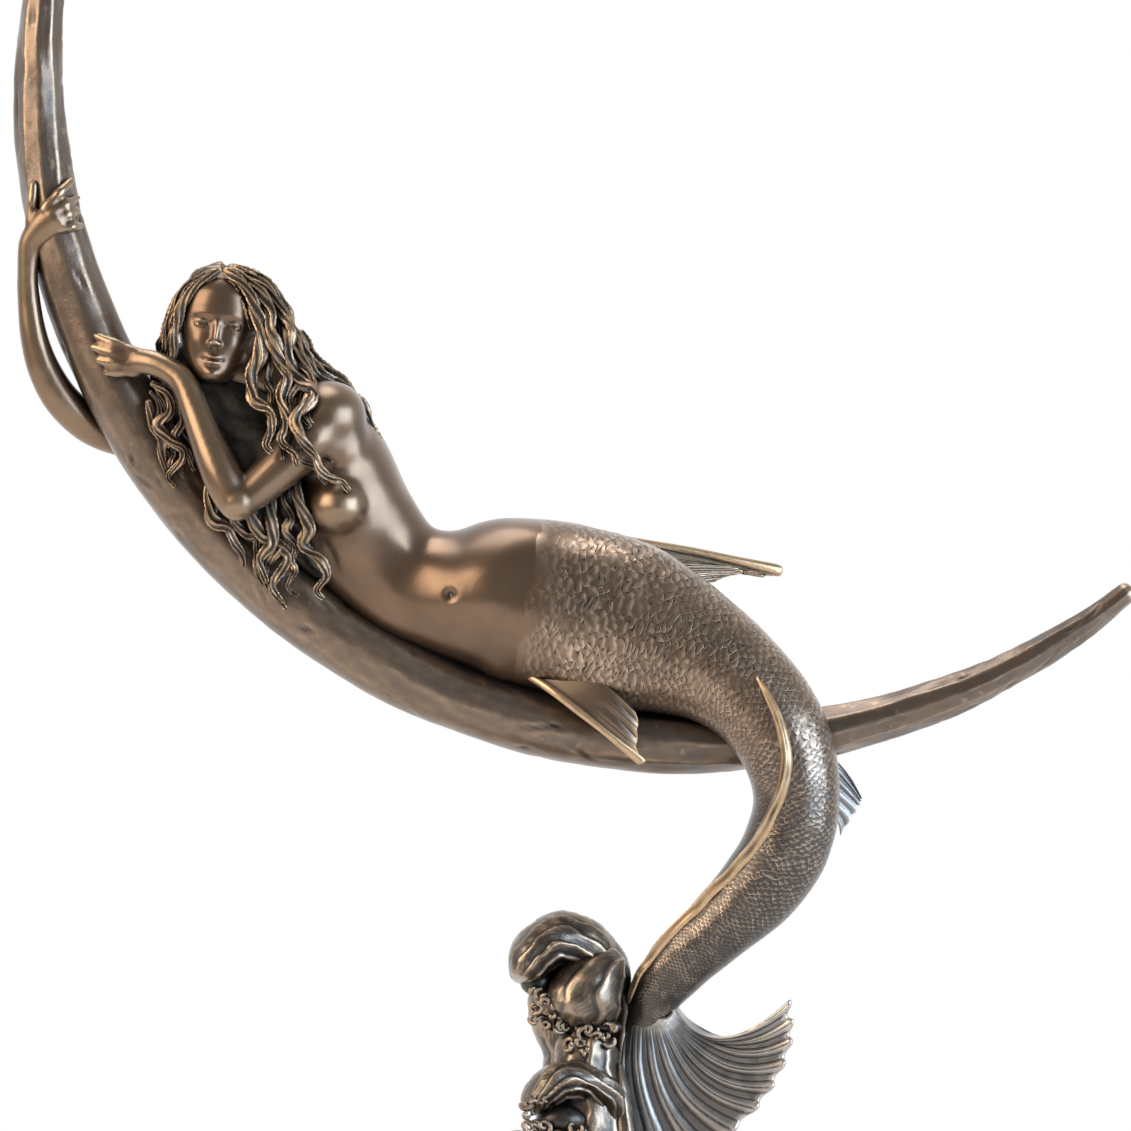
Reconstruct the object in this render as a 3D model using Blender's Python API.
"""A mermaid stretched out along a crescent moon that rises from breaking waves.

The figurine is one solid casting, so every limb, lock, fin and wave is modelled as a closed
form, and the forms are fused into one skin. It stands on the flat underside of the sea, with
+Z up, +X from the mermaid's hands to her tail, and -Y towards the viewer. Lengths are in
millimetres and angles in degrees until a mesh is made. Places on the moon are given as
(angle along it, distance outwards from its centreline, distance to the far side).
"""

import math

import bmesh
import bpy
import numpy as np
from mathutils import Euler, Matrix, Vector
from mathutils.bvhtree import BVHTree

MM = 0.001

# Crescent moon. Angles along it run from its middle, positive towards the upper horn.
MOON_RADIUS = 144.0
MOON_THICKNESS = 15.8
HORN_TIP_THICKNESS = 4.2
HORN_REACH = 78.0
MOON_TILT = 128.0
MOON_CLEARANCE = 117.6
MOON_OVER_BASE = 22.7

# Sea that carries the figure
SEA_LENGTH = 112.0
SEA_DEPTH = 88.0
SEA_RIM_HEIGHT = 5.0
SEA_HEIGHT = 40.0
SEA_CENTRE_X = -4.0
RIPPLE_HEIGHT = 1.6
CREST_THICKNESS = 10.5

# Mermaid
HEAD_HEIGHT = 25.0
HEAD_ROLL = 7.0
CHEST_HALF_BREADTH = 14.0
WAIST_HALF_BREADTH = 10.4
HIP_HALF_BREADTH = 16.4
BREAST_RADIUS = 5.8
UPPER_ARM_RADIUS = 4.4
WRIST_RADIUS = 2.0
FINGER_RADIUS = 0.85
FINGER_LENGTH = 9.5
LOCK_RADIUS = 1.7
LOCK_WAVE = 1.5

# Tail
TAIL_ROOT_X = 10.4
TAIL_ROOT_HEIGHT = 64.4
TAIL_SWING = 9.9
TAIL_ROOT_RADIUS = 5.0
KEEL_HEIGHT = 2.0
FIN_THICKNESS = 1.9
FIN_RIB = 0.35

# Casting
SKIN_CELL = 0.75
SKIN_TRIANGLES = 11200
SMOOTH_ROUNDS = 2
MOST_ATTEMPTS = 8
BELOW_GROUND = 2.0
BRONZE = (0.24, 0.15, 0.09, 1.0)

TAIL_ROOT = Vector((TAIL_ROOT_X, 0.0, TAIL_ROOT_HEIGHT))


def moon_half_at(angle):
    """Half the moon's thickness at an angle along it."""
    share = min(1.0, abs(angle) / HORN_REACH)
    swell = math.cos(share * math.pi / 2)
    return (HORN_TIP_THICKNESS + (MOON_THICKNESS - HORN_TIP_THICKNESS) * swell) / 2


MOON_HALF = moon_half_at(0.0)
LOWEST_HALF = moon_half_at(MOON_TILT - 90.0)
MOON_CENTRE = Vector((MOON_OVER_BASE, 0.0, MOON_CLEARANCE + LOWEST_HALF + MOON_RADIUS))


def on_moon(angle, out, side=0.0):
    """The point at an angle along the moon, out from its centreline and to its far side."""
    turn = math.radians(-MOON_TILT - angle)
    reach = MOON_RADIUS + out
    return MOON_CENTRE + Vector((reach * math.cos(turn), side, reach * math.sin(turn)))


def above_moon(angle, lift, side=0.0):
    """The point that far above the moon's inner face, on which the mermaid lies."""
    return on_moon(angle, -moon_half_at(angle) - lift, side)


def spline(rows, steps):
    """Rows of numbers, with steps - 1 more rows eased in after each of them but the last."""
    rows = np.array(rows, float)
    before = np.vstack([2 * rows[0] - rows[1], rows[:-1]])
    after = np.vstack([rows[1:], 2 * rows[-1] - rows[-2]])
    slopes = (after - before) / 2
    eased = []
    for i in range(len(rows) - 1):
        for t in np.arange(steps) / steps:
            eased.append(
                rows[i] * (1 + 2 * t) * (1 - t) ** 2
                + rows[i + 1] * t * t * (3 - 2 * t)
                + slopes[i] * t * (1 - t) ** 2
                + slopes[i + 1] * t * t * (t - 1)
            )
    return np.vstack([eased, rows[-1]])


def solid(name, points, faces):
    """A mesh object with its faces turned outwards, from points in millimetres."""
    shape = bmesh.new()
    corners = [shape.verts.new(Vector(p) * MM) for p in points]
    for face in faces:
        shape.faces.new([corners[i] for i in face])
    bmesh.ops.recalc_face_normals(shape, faces=shape.faces)
    mesh = bpy.data.meshes.new(name)
    shape.to_mesh(mesh)
    shape.free()
    made = bpy.data.objects.new(name, mesh)
    bpy.context.scene.collection.objects.link(made)
    return made


def frames_along(centres, across):
    """For each centre of a spine, the unit vector in its own plane and the one across it."""
    tangents = np.gradient(centres, axis=0)
    tangents /= np.linalg.norm(tangents, axis=1, keepdims=True)
    sideways = across - tangents * (tangents @ across)[:, None]
    sideways /= np.linalg.norm(sideways, axis=1, keepdims=True)
    return np.cross(sideways, tangents), sideways


def limb(name, rows, sides=12, steps=4, across=(0, 1, 0)):
    """A closed solid along a spine. Each row is a centre, then the half size in the spine's
    plane and the half size across it."""
    rows = spline([[*centre, *halves] for centre, *halves in rows], steps)
    centres, halves = rows[:, :3], rows[:, 3:]
    inwards, sideways = frames_along(centres, np.array(across, float))
    points = []
    for centre, (a, b), n, s in zip(centres, halves, inwards, sideways):
        for k in range(sides):
            turn = 2 * math.pi * k / sides
            points.append(centre + n * a * math.cos(turn) + s * b * math.sin(turn))
    faces = []
    for i in range(len(centres) - 1):
        for k in range(sides):
            one, two = i * sides + k, i * sides + (k + 1) % sides
            faces.append((one, two, two + sides, one + sides))
    first, last = len(points), len(points) + 1
    for end, inner in ((0, 1), (-1, -2)):
        outwards = centres[end] - centres[inner]
        outwards /= np.linalg.norm(outwards)
        points.append(centres[end] + outwards * halves[end].min() * 0.6)
    start = (len(centres) - 1) * sides
    for k in range(sides):
        faces.append((first, (k + 1) % sides, k))
        faces.append((last, start + k, start + (k + 1) % sides))
    return solid(name, points, faces)


def ball(name, centre, radii, tilt=0.0, segments=20):
    """An ellipsoid, tilted in the plane of the moon."""
    shape = bmesh.new()
    bmesh.ops.create_uvsphere(
        shape, u_segments=segments, v_segments=segments // 2, radius=1.0
    )
    placing = Matrix.LocRotScale(
        Vector(centre) * MM,
        Euler((0.0, math.radians(tilt), 0.0)),
        Vector(radii) * MM,
    )
    bmesh.ops.transform(shape, matrix=placing, verts=shape.verts)
    mesh = bpy.data.meshes.new(name)
    shape.to_mesh(mesh)
    shape.free()
    made = bpy.data.objects.new(name, mesh)
    bpy.context.scene.collection.objects.link(made)
    return made


def fan(name, rays, thickness, ribs=9, steps=7, rib=FIN_RIB):
    """A fin: a closed sheet between its first and last ray, thick at the root, thin at the
    edge, with every second ray raised as a rib. Each ray is a root, a middle and an end."""
    keys = np.array([[*root, *middle, *end] for root, middle, end in rays], float)
    between = max(1, round((2 * ribs) / (len(rays) - 1)))
    keys = spline(keys, between)
    grid = np.zeros((len(keys), steps + 1, 3))
    for j, t in enumerate(np.linspace(0, 1, steps + 1)):
        root, middle, end = keys[:, :3], keys[:, 3:6], keys[:, 6:]
        grid[:, j] = root * (1 - t) ** 2 + middle * 2 * t * (1 - t) + end * t * t
    normals = np.cross(np.gradient(grid, axis=0), np.gradient(grid, axis=1))
    normals /= np.linalg.norm(normals, axis=2, keepdims=True) + 1e-9
    share = np.linspace(0, 1, steps + 1)[None, :]
    half = thickness / 2 * (1.3 - 0.7 * share) + rib * (
        np.where(np.arange(len(keys)) % 2, -1.0, 1.0)[:, None] * np.sin(share * 2.6)
    )
    points = np.concatenate(
        [
            (grid + normals * half[..., None]).reshape(-1, 3),
            (grid - normals * half[..., None]).reshape(-1, 3),
        ]
    )
    across, along = grid.shape[:2]
    under = across * along
    faces = []
    for i in range(across - 1):
        for j in range(along - 1):
            a, b = i * along + j, (i + 1) * along + j
            faces.append((a, b, b + 1, a + 1))
            faces.append((under + a + 1, under + b + 1, under + b, under + a))
    rim = [(i, 0) for i in range(across)]
    rim += [(across - 1, j) for j in range(1, along)]
    rim += [(i, along - 1) for i in range(across - 2, -1, -1)]
    rim += [(0, j) for j in range(along - 2, 0, -1)]
    for (i, j), (k, m) in zip(rim, rim[1:] + rim[:1]):
        a, b = i * along + j, k * along + m
        faces.append((b, a, under + a, under + b))
    return solid(name, points, faces)


def crescent_moon():
    """A horned crescent of round section, thickest at its middle."""
    rows = []
    for share in np.linspace(-1, 1, 37):
        half = moon_half_at(share * HORN_REACH)
        rows.append((on_moon(share * HORN_REACH, 0.0), half, half))
    return [limb("crescent_moon", rows, sides=20, steps=1)]


def body_rows():
    """The spine of the torso and tail: centre, half depth and half breadth."""
    torso = (
        (12.5, -35.5, 0.0, 5.5, CHEST_HALF_BREADTH - 3.0),
        (9.5, -32.4, 0.0, 8.2, CHEST_HALF_BREADTH + 1.0),
        (5.5, -29.6, 0.0, 10.3, CHEST_HALF_BREADTH),
        (-0.5, -22.4, 0.0, 11.8, (CHEST_HALF_BREADTH + WAIST_HALF_BREADTH) / 2),
        (-6.5, -18.2, 0.0, 11.6, WAIST_HALF_BREADTH),
        (-11.4, -19.8, 0.0, 12.9, (WAIST_HALF_BREADTH + HIP_HALF_BREADTH) / 2),
        (-16.5, -23.8, 0.0, 16.4, HIP_HALF_BREADTH - 0.6),
        (-22.6, -25.4, 0.0, 18.1, HIP_HALF_BREADTH),
        (-30.4, -24.2, -2.0, 17.7, HIP_HALF_BREADTH - 1.4),
        (-38.3, -17.6, -6.0, 13.3, HIP_HALF_BREADTH - 3.9),
        (-42.5, -9.5, -9.0, 11.2, HIP_HALF_BREADTH - 5.6),
        (-44.8, 1.0, -11.0, 10.2, HIP_HALF_BREADTH - 6.5),
    )
    rows = [(on_moon(*place), depth, breadth) for *place, depth, breadth in torso]
    crossing = rows[-1][0]
    chord = TAIL_ROOT - crossing
    swing_way = Vector((-chord.z, 0.0, chord.x)).normalized()
    tail = (
        (0.137, 0.72, -10.5, 9.3 / 5, 9.3 / 5),
        (0.290, 1.00, -9.0, 9.4 / 5, 9.2 / 5),
        (0.447, 0.91, -7.0, 9.0 / 5, 8.6 / 5),
        (0.605, 0.55, -5.0, 7.8 / 5, 7.4 / 5),
        (0.765, 0.15, -3.0, 6.9 / 5, 6.2 / 5),
        (0.909, -0.08, -1.0, 5.7 / 5, 4.8 / 5),
        (1.0, 0.0, 0.0, 1.0, 0.72),
        (1.13, -0.1, 0.5, 0.8, 0.5),
    )
    for share, swing, side, depth, breadth in tail:
        place = crossing + chord * share + swing_way * swing * TAIL_SWING
        place.y = side
        rows.append((place, depth * TAIL_ROOT_RADIUS, breadth * TAIL_ROOT_RADIUS))
    return rows


def torso_and_tail():
    made = [limb("torso_and_tail", body_rows(), sides=28, steps=4)]
    for side in (-1, 1):
        place = on_moon(2.6, -22.6, side * CHEST_HALF_BREADTH * 0.55)
        size = BREAST_RADIUS
        made.append(ball(f"breast_{side}", place, (size, size, size * 1.05)))
    return made


def keel():
    """The raised ridge that winds down the tail from its back to its belly side."""
    rows = spline([[*c, a, b] for c, a, b in body_rows()], 4)
    centres, halves = rows[:, :3], rows[:, 3:]
    inwards, sideways = frames_along(centres, np.array((0, 1.0, 0)))
    first, last = 9 * 4 + 2, 17 * 4
    path = []
    for i in range(first, last + 1):
        share = (i - first) / (last - first)
        turn = math.radians(-138 + 100 * share**0.8)
        reach = math.cos(turn) * halves[i, 0], math.sin(turn) * halves[i, 1]
        place = centres[i] + inwards[i] * reach[0] + sideways[i] * reach[1]
        path.append((place, KEEL_HEIGHT * math.sin(math.pi * (0.1 + 0.8 * share)) + 0.5))
    return [limb("keel", [(p, h, 0.8) for p, h in path], sides=6, steps=1)]


def head_place():
    """The middle of the head at the height of the chin, and the head's upward direction."""
    roll = math.radians(HEAD_ROLL)
    return above_moon(20.1, 11.1, -6.5), Vector((math.sin(roll), 0.0, math.cos(roll)))


def head():
    """Cranium, face and neck. The face looks at the viewer, over the near wrist."""
    chin, up = head_place()
    size = HEAD_HEIGHT
    forms = (
        ("cranium", 0.60, 0.12, (0.34, 0.42, 0.40)),
        ("face", 0.40, -0.05, (0.305, 0.34, 0.38)),
        ("jaw", 0.20, -0.13, (0.21, 0.22, 0.20)),
        ("cheeks", 0.34, -0.16, (0.26, 0.20, 0.20)),
    )
    made = []
    for name, height, back, radii in forms:
        place = chin + up * height * size + Vector((0, 1, 0)) * back * size
        made.append(ball(name, place, [r * size for r in radii], HEAD_ROLL))
    brow = chin + up * 0.52 * size + Vector((0, -0.36 * size, 0))
    tip = chin + up * 0.335 * size + Vector((-0.01, -0.475, 0)) * size
    lip = chin + up * 0.29 * size + Vector((0, -0.37 * size, 0))
    made.append(
        limb(
            "nose",
            [(brow, 0.7, 0.6), (tip, 1.2, 1.1), (lip, 1.0, 0.6)],
            sides=8,
            across=(1, 0, 0),
        )
    )
    nape = chin + up * 0.18 * size + Vector((0.06, 0.14, 0)) * size
    made.append(
        limb(
            "neck",
            [
                (chin + up * 0.45 * size + Vector((0, 0.1 * size, 0)), 5.4, 5.0),
                (nape, 5.2, 4.9),
                (on_moon(13.5, -34.5, 0.0), 5.6, 5.6),
                (on_moon(8.5, -32.0, 0.0), 6.0, 6.4),
            ],
            across=(0.3, 1, 0),
        )
    )
    return made


def hand(name, wrist, palm, knuckles, tips, side):
    """A flat palm with fingers that run from the knuckles to the tips."""
    made = [
        limb(
            f"{name}_palm",
            [(wrist, WRIST_RADIUS, 2.4), (palm, 3.6, 1.9), (knuckles, 4.0, 1.4)],
        )
    ]
    along = (tips - knuckles).normalized()
    spread = along.cross(Vector((0, 1, 0))).normalized()
    for k, (offset, share) in enumerate(((-1.5, 0.9), (-0.5, 1.0), (0.5, 1.0), (1.5, 0.85))):
        root = knuckles + spread * offset * 2.05 - along * 1.0
        end = tips + spread * offset * 2.5 - along * (1 - share) * FINGER_LENGTH
        middle = (root + end) / 2 + Vector((0, side * 0.8, 0))
        rows = [
            (root, FINGER_RADIUS * 1.15, FINGER_RADIUS * 1.1),
            (middle, FINGER_RADIUS, FINGER_RADIUS),
            (end, FINGER_RADIUS * 0.75, FINGER_RADIUS * 0.75),
        ]
        made.append(limb(f"{name}_finger_{k}", rows, sides=8, steps=3))
    return made


def arms():
    """The near arm is folded, with its hand laid on the moon under her chin. The far arm
    passes behind the moon, and its hand holds the moon's upper horn."""
    near_front = -MOON_HALF - 1.6
    shoulder = on_moon(9.6, -31.5, -CHEST_HALF_BREADTH)
    elbow = on_moon(8.6, -6.5, -CHEST_HALF_BREADTH - 3.5)
    wrist = on_moon(22.0, -13.5, near_front - 2.6)
    knuckles = on_moon(25.5, -7.0, near_front)
    along = (on_moon(28.0, 1.5, near_front + 0.6) - knuckles).normalized()
    tips = knuckles + along * FINGER_LENGTH
    made = [
        limb(
            "near_arm",
            [
                (shoulder, 5.2, 5.6),
                (shoulder.lerp(elbow, 0.4), UPPER_ARM_RADIUS, UPPER_ARM_RADIUS),
                (shoulder.lerp(elbow, 0.8), 4.0, 3.8),
                (elbow, 3.7, 3.4),
            ],
        ),
        limb(
            "near_forearm",
            [
                (elbow, 3.8, 3.5),
                (elbow.lerp(wrist, 0.3), 4.0, 3.7),
                (elbow.lerp(wrist, 0.7), 3.0, 2.8),
                (wrist, WRIST_RADIUS + 0.4, WRIST_RADIUS + 0.2),
            ],
        ),
    ]
    made += hand("near_hand", wrist, wrist.lerp(knuckles, 0.5), knuckles, tips, -1)
    shoulder = on_moon(11.5, -30.0, CHEST_HALF_BREADTH)
    elbow = on_moon(25.3, 14.2, 1.0)
    behind = on_moon(20.0, 1.0, MOON_HALF + 3.2)
    wrist = on_moon(36.0, 8.0, -3.0)
    knuckles = on_moon(39.8, 0.4, -moon_half_at(39.8) - 1.2)
    along = (on_moon(41.0, -7.0, -moon_half_at(41.0) * 0.6) - knuckles).normalized()
    tips = knuckles + along * FINGER_LENGTH * 0.85
    made += [
        limb(
            "far_arm",
            [
                (shoulder, 5.0, 5.4),
                (shoulder.lerp(behind, 0.5), UPPER_ARM_RADIUS, UPPER_ARM_RADIUS),
                (behind, 4.2, 4.0),
                (behind.lerp(elbow, 0.6), 3.8, 3.6),
                (elbow, 3.6, 3.4),
            ],
        ),
        limb(
            "far_forearm",
            [
                (elbow, 3.8, 3.6),
                (elbow.lerp(wrist, 0.3) + Vector((-0.8, 0, 0)), 3.6, 3.5),
                (elbow.lerp(wrist, 0.7) + Vector((-0.8, 0, 0)), 2.8, 2.8),
                (wrist, WRIST_RADIUS + 0.2, WRIST_RADIUS + 0.2),
            ],
        ),
        # What closes the slit between the forearm and the moon
        limb(
            "far_arm_rest",
            [
                (on_moon(24.0, 7.5, 2.5), 2.0, 2.0),
                (on_moon(27.0, 9.0, 2.5), 3.2, 2.4),
                (on_moon(32.0, 7.6, 1.5), 3.0, 2.4),
                (on_moon(36.0, 6.0, 0.0), 2.2, 2.0),
            ],
        ),
    ]
    made += hand("far_hand", wrist, wrist.lerp(knuckles, 0.5), knuckles, tips, -1)
    return made


def lock(name, points, radius, wave=1.0, curls=3.0, start=0.0):
    """A wavy lock of hair along a path, fullest near its root and pointed at its end."""
    path = spline([list(p) for p in points], 8)
    steps = len(path)
    ways = np.gradient(path, axis=0)
    ways /= np.linalg.norm(ways, axis=1, keepdims=True)
    sway = np.cross(ways, (0, 1.0, 0))
    rows = []
    for i in range(steps):
        share = i / (steps - 1)
        swing = math.sin(2 * math.pi * (curls * share + start)) * LOCK_WAVE * wave
        swing *= min(1.0, 3 * share)
        body = radius * LOCK_RADIUS * (0.45 + 0.75 * math.sin(math.pi * (0.2 + 0.75 * share)))
        rows.append((path[i] + sway[i] * swing, body, body * 0.8))
    return limb(name, rows, sides=8, steps=1)


def hair():
    """A cap over the cranium, and locks that fall over her shoulders, arm and the moon."""
    chin, up = head_place()
    size = HEAD_HEIGHT
    crown = chin + up * 0.64 * size + Vector((0.05, 0.19, 0)) * size
    made = [
        ball("hair_cap", crown, [size * r for r in (0.43, 0.46, 0.42)], HEAD_ROLL),
        limb(
            "hair_back",
            [
                (on_moon(24.0, -32.0, 6.0), 7.5, 8.0),
                (on_moon(17.0, -31.5, 8.0), 7.5, 8.5),
                (on_moon(11.0, -32.5, 8.0), 7.0, 7.5),
                (on_moon(5.0, -33.0, 7.0), 4.5, 6.0),
            ],
        ),
        # The dark mass between chin, arm, chest and moon, which ties the locks together
        limb(
            "hair_mass",
            [
                (on_moon(25.5, -12.0, -1.0), 4.5, 5.0),
                (on_moon(21.0, -14.5, -2.0), 8.0, 6.5),
                (on_moon(15.5, -18.0, -3.0), 10.5, 7.0),
                (on_moon(10.0, -17.5, -3.0), 11.0, 7.5),
                (on_moon(4.5, -13.5, -3.0), 8.0, 7.0),
                (on_moon(-1.5, -9.5, -3.0), 3.5, 5.0),
            ],
        ),
    ]
    locks = (
        # Past her near cheek, over the folded arm
        ((28.0, -35.1, -9), (22.3, -33.7, -11), (18.0, -26.5, -12), (10.3, -21.5, -15), 1.0, 3.0),
        ((27.6, -37.8, -7), (21.2, -35.8, -10), (15.9, -32.0, -12), (9.3, -23.4, -17), 1.1, 3.0),
        ((26.8, -39.6, -5), (19.7, -38.4, -9), (12.5, -32.5, -15), (1.9, -25.5, -15), 1.2, 3.5),
        ((25.4, -39.4, -2), (19.7, -38.8, -5), (14.9, -37.8, -9), (11.7, -36.0, -11), 1.2, 2.0),
        # From the far side of her face onto the moon
        ((30.0, -25.5, -6), (26.6, -16.0, -7), (21.3, -8.0, -9), (13.9, 0.5, -8), 1.0, 3.5),
        ((26.0, -15.0, -6), (21.4, -4.6, -8), (18.1, -3.3, -9), (14.9, 0.3, -8), 0.9, 2.0),
        # Beneath the near arm, spread over the moon
        ((10.5, -18.0, -8), (8.1, -8.4, -11), (3.8, -6.5, -11), (-0.1, 2.1, -8), 1.1, 2.5),
        ((9.0, -20.0, -9), (5.8, -15.0, -11), (1.5, -10.5, -11), (-2.4, -4.9, -8), 1.1, 2.5),
        ((13.5, -14.0, -8), (11.4, -4.5, -10), (8.4, -1.8, -10), (5.3, 1.0, -8), 1.0, 2.0),
        ((10.0, -16.0, -8), (6.9, -9.8, -11), (4.8, -4.0, -10), (2.3, 1.4, -8), 1.0, 2.0),
        # Down her back
        ((21.5, -38.2, 3), (15.3, -37.6, 6), (9.5, -39.0, 8), (2.9, -36.5, 8), 1.2, 2.5),
        ((22.5, -37.0, 9), (16.0, -36.0, 13), (10.0, -36.0, 14), (4.0, -34.0, 12), 1.3, 2.5),
        ((23.0, -33.0, 12), (16.0, -31.0, 15), (9.0, -30.5, 15), (3.0, -28.0, 13), 1.3, 2.5),
    )
    part = chin + up * size + Vector((0, -0.12 * size, 0))
    for k, (*places, radius, curls) in enumerate(locks):
        path = [on_moon(*place) for place in places]
        if path[0].z > chin.z + 0.5 * size:
            path.insert(0, part.lerp(path[0], 0.3))
        made.append(lock(f"lock_{k}", path, radius, curls=curls, start=0.13 * k))
    return made


def fins():
    """Two hip fins, the small fin low on the tail, and the two lobes of the tail fin."""
    near = (
        (on_moon(-20.5, -9.5, -6.0), on_moon(-26.0, -5.0, -14.0), on_moon(-32.8, 5.0, -11.0)),
        (on_moon(-23.0, -12.0, -7.0), on_moon(-27.8, -7.6, -14.5), on_moon(-33.0, 3.4, -11.0)),
        (on_moon(-26.0, -13.5, -8.0), on_moon(-29.5, -9.8, -14.0), on_moon(-31.9, -3.0, -10.0)),
    )
    back = -HIP_HALF_BREADTH - 22.5
    far = (
        (on_moon(-28.0, back - 1.5, 6), on_moon(-36.0, back - 8.0, 10), on_moon(-48.2, back + 2.5, 14)),
        (on_moon(-31.5, back + 0.5, 7), on_moon(-37.0, back - 4.0, 10), on_moon(-46.0, back + 2.8, 13)),
        (on_moon(-37.2, back + 6.5, 6), on_moon(-39.5, back + 2.0, 8), on_moon(-42.0, back + 4.2, 11)),
    )
    bend = on_moon(-44.8, 1.0, 0.0)
    low = (
        (bend + Vector((6, -2, 1)), bend + Vector((13.4, 1, -4.4)), bend + Vector((16.8, 2, -12))),
        (bend + Vector((6, -2, -5)), bend + Vector((13, 1, -10)), bend + Vector((16, 2, -14))),
        (bend + Vector((6, -2, -13)), bend + Vector((12, 1, -15)), bend + Vector((12, 2, -20))),
    )
    root = TAIL_ROOT
    near_lobe = (
        ((3.5, 0, -2), (14, -3, -13), (30.8, -7, 4.6)),
        ((3.0, 0, -3), (15, -3, -11), (31.8, -7, -3.5)),
        ((2.0, 0, -3.5), (12, -3, -14), (28.0, -7, -13.0)),
        ((1.0, 0, -3.5), (8, -3, -16), (21.0, -7, -22.0)),
        ((-1.0, 0, -3.0), (3, -3, -18), (11.0, -7, -31.0)),
        ((-3.5, 0, -2), (-7, -3, -12), (-1.0, -7, -32.0)),
    )
    far_lobe = (
        ((3.0, 1, -2), (-2, 12, -10), (-6.0, 30, 2.0)),
        ((1.5, 1, -3), (0, 13, -13), (-2.0, 31, -3.0)),
        ((0.0, 1, -4), (1, 10, -17), (2.0, 26, -14.0)),
        ((-2.0, 1, -3), (-2, 7, -18), (0.0, 17, -27.0)),
    )
    made = [
        fan("near_hip_fin", near, FIN_THICKNESS, ribs=5),
        fan("far_hip_fin", far, FIN_THICKNESS, ribs=6),
        fan("low_fin", low, FIN_THICKNESS * 0.8, ribs=4),
    ]
    for name, lobe in (("near_lobe", near_lobe), ("far_lobe", far_lobe)):
        rays = [[root + Vector(p) for p in ray] for ray in lobe]
        made.append(fan(name, rays, FIN_THICKNESS * 1.15, ribs=9, steps=9))
    return made


def crest(name, foot, top, curl_way, share, breadth):
    """A breaking wave: a broad tongue that rises from its foot, bends over at the top and
    rolls back under its own crest."""
    foot, top = Vector(foot), Vector(top)
    way = Vector(curl_way).normalized()
    across = way.cross(Vector((0, 0, 1))).normalized()
    size = CREST_THICKNESS * share
    trunk = (
        (foot.lerp(top, -0.15), 1.25, 1.15),
        (foot.lerp(top, 0.4), 1.0, 1.05),
        (foot.lerp(top, 0.72) - way * size * 0.35, 1.1, 1.0),
    )
    curl = (
        (-0.28, -0.34, 0.95, 0.97),
        (0.26, 0.0, 0.66, 0.92),
        (0.7, -0.2, 0.42, 0.85),
        (0.88, -0.6, 0.25, 0.7),
    )
    rows = [(place, a * size, b * breadth) for place, a, b in trunk]
    for ahead, up, a, b in curl:
        place = top + way * ahead * size + Vector((0, 0, up * size))
        rows.append((place, a * size, b * breadth))
    return limb(name, rows, sides=14, steps=3, across=tuple(across))


def sea():
    """A mound of water with a flat underside, circled by ripples, and the waves on it."""
    rings, sides = 16, 48
    points, faces = [], []
    for i in range(rings + 1):
        share = i / rings
        for k in range(sides):
            turn = 2 * math.pi * k / sides
            lobes = 1 + 0.035 * math.sin(5 * turn + 0.6) + 0.02 * math.sin(9 * turn)
            swell = (1 - share**1.8) ** 0.8 * (SEA_HEIGHT - SEA_RIM_HEIGHT)
            ripple = RIPPLE_HEIGHT * math.sin(6.0 * math.pi * share + 2 * turn)
            ripple *= math.sin(math.pi * min(1.0, share * 1.02))
            points.append(
                (
                    SEA_CENTRE_X + SEA_LENGTH / 2 * lobes * share * math.cos(turn),
                    SEA_DEPTH / 2 * lobes * share * math.sin(turn),
                    SEA_RIM_HEIGHT + swell + ripple,
                )
            )
    for i in range(1, rings):
        for k in range(sides):
            a, b = i * sides + k, i * sides + (k + 1) % sides
            faces.append((a, b, b + sides, a + sides))
    faces += [(0, sides + (k + 1) % sides, sides + k) for k in range(sides)]
    rim = rings * sides
    low = len(points)
    for k in range(sides):
        x, y, _ = points[rim + k]
        points.append((SEA_CENTRE_X + (x - SEA_CENTRE_X) * 0.97, y * 0.97, -BELOW_GROUND))
    points.append((SEA_CENTRE_X, 0.0, -BELOW_GROUND))
    for k in range(sides):
        a, b = k, (k + 1) % sides
        faces.append((rim + a, rim + b, low + b, low + a))
        faces.append((low + a, low + b, len(points) - 1))
    used = sorted({i for face in faces for i in face})
    index = {old: new for new, old in enumerate(used)}
    made = [
        solid(
            "sea_mound",
            [points[i] for i in used],
            [[index[i] for i in face] for face in faces],
        )
    ]
    root_x, root_z = TAIL_ROOT.x, TAIL_ROOT.z
    waves = (
        ("high", (-2, 1, 22), (root_x - 18.9, 1, root_z + 15.6), (-1, -0.1, 0), 1.0, 10.0),
        ("front", (-3, -13, 16), (root_x - 18, -13, root_z - 12.5), (-1, -0.25, 0), 0.7, 8.5),
        ("left", (-26, -3, 8), (-31, -4, root_z - 34), (-1, 0.15, 0), 0.85, 12.0),
        ("back", (-12, 19, 8), (-16, 23, root_z - 32), (-0.6, 0.8, 0), 0.85, 12.0),
        ("right", (29, 8, 6), (34, 9, root_z - 39), (1, 0.25, 0), 0.8, 11.0),
        ("far_right", (14, 23, 8), (18, 26, root_z - 31), (0.7, 0.7, 0), 0.8, 11.0),
        ("near", (14, -24, 4), (18, -28, root_z - 42), (0.6, -0.8, 0), 0.75, 11.0),
        ("near_left", (-28, -23, 4), (-33, -26, root_z - 45), (-0.75, -0.65, 0), 0.75, 11.0),
    )
    made += [crest(*wave) for wave in waves]
    return made


def cut_at_ground(shape):
    """Takes off what lies below the ground and closes the cut with a flat face."""
    cut = bmesh.ops.bisect_plane(
        shape,
        geom=[*shape.verts, *shape.edges, *shape.faces],
        plane_co=(0, 0, 0),
        plane_no=(0, 0, 1),
        clear_inner=True,
    )
    rim = [e for e in cut["geom_cut"] if isinstance(e, bmesh.types.BMEdge)]
    bmesh.ops.holes_fill(shape, edges=rim, sides=0)
    bmesh.ops.triangulate(shape, faces=shape.faces)


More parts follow.
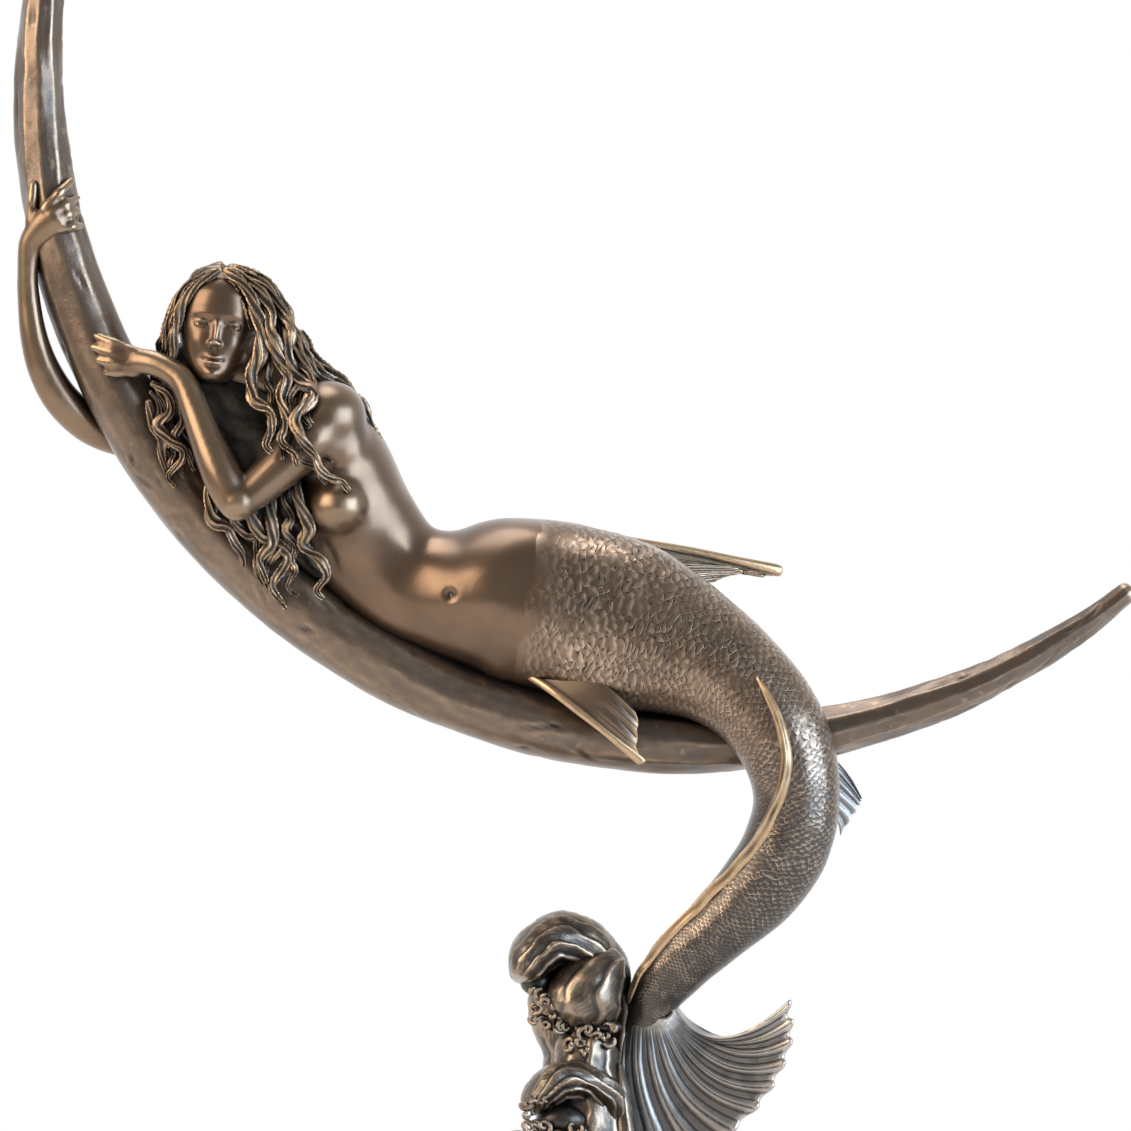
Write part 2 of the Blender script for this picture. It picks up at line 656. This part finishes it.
def skinned(forms, cell):
    """The skin round a mesh of many forms, in few faces, and whether it is sound: whether
    each edge joins two faces and no surface passes through another."""
    whole = bpy.data.objects.new("skin", forms.copy())
    bpy.context.scene.collection.objects.link(whole)
    bpy.context.view_layer.objects.active = whole
    skin = whole.modifiers.new("skin", "REMESH")
    skin.mode = "VOXEL"
    skin.voxel_size = cell * MM
    bpy.ops.object.modifier_apply(modifier=skin.name)
    ease = whole.modifiers.new("ease", "SMOOTH")
    ease.factor = 0.5
    ease.iterations = SMOOTH_ROUNDS
    bpy.ops.object.modifier_apply(modifier=ease.name)
    thin = whole.modifiers.new("thin", "DECIMATE")
    thin.ratio = SKIN_TRIANGLES / (2 * len(whole.data.polygons))
    bpy.ops.object.modifier_apply(modifier=thin.name)
    shape = bmesh.new()
    shape.from_mesh(whole.data)
    cut_at_ground(shape)
    sound = all(v.is_manifold for v in shape.verts)
    sound = sound and all(e.is_manifold for e in shape.edges)
    shape.faces.ensure_lookup_table()
    tree = BVHTree.FromBMesh(shape)
    for one, two in tree.overlap(tree):
        corners = {*shape.faces[one].verts, *shape.faces[two].verts}
        sound = sound and (one == two or len(corners) < 6)
    shape.to_mesh(whole.data)
    shape.free()
    return whole, sound


def fused(name, forms):
    """All the forms in one skin. A cell size now and then leaves the skin touching itself
    between two locks or fingers, so the next size up is tried."""
    for form in forms:
        form.select_set(True)
    bpy.context.view_layer.objects.active = forms[0]
    bpy.ops.object.join()
    whole, sound = skinned(forms[0].data, SKIN_CELL)
    for attempt in range(1, MOST_ATTEMPTS):
        if sound:
            break
        bpy.data.objects.remove(whole)
        whole, sound = skinned(forms[0].data, SKIN_CELL * (1 + 0.02 * attempt))
    bpy.data.objects.remove(forms[0])
    whole.name = whole.data.name = name
    return whole


def bronze():
    """Cold-cast bronze with a dark patina."""
    made = bpy.data.materials.new("antique_bronze")
    made.use_nodes = True
    shader = made.node_tree.nodes["Principled BSDF"]
    shader.inputs["Base Color"].default_value = BRONZE
    shader.inputs["Metallic"].default_value = 0.9
    shader.inputs["Roughness"].default_value = 0.38
    return made


def main():
    for old in list(bpy.data.objects):
        bpy.data.objects.remove(old)
    forms = crescent_moon() + torso_and_tail() + keel() + head() + arms() + hair()
    forms += fins() + sea()
    figurine = fused("mermaid_figurine", forms)
    figurine.data.shade_smooth()
    figurine.data.materials.clear()
    figurine.data.materials.append(bronze())


main()
